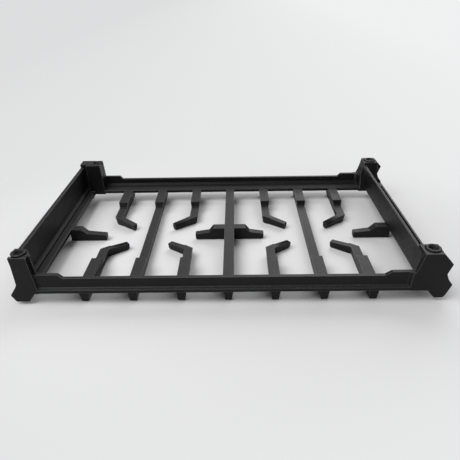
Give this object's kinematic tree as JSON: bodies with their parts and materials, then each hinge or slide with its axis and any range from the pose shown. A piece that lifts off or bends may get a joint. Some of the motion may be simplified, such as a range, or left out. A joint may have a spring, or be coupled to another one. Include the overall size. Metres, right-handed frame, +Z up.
{
  "type": "stove grate",
  "caption": "Cast iron stove grate with stepped bars, bent and side fingers over two burner spaces, moulded rails, side walls and rubber-tipped corner posts, lying cooking face down.",
  "frame": {"origin": "middle of the centre bar on the cooking face, on which the grate lies as in the picture", "axes": "+X to the right along the rails, +Y to the back along the bars, +Z up, towards the rubber feet"},
  "size_m": [0.469, 0.274, 0.061],
  "materials": {
    "iron": "satin black enamel over a fine cast grain",
    "rubber": "matt"
  },
  "bodies": {
    "root": {"grate_casting": "iron", "foot_front_left": "rubber", "foot_front_right": "rubber", "foot_rear_left": "rubber", "foot_rear_right": "rubber"}
  },
  "joints": []
}
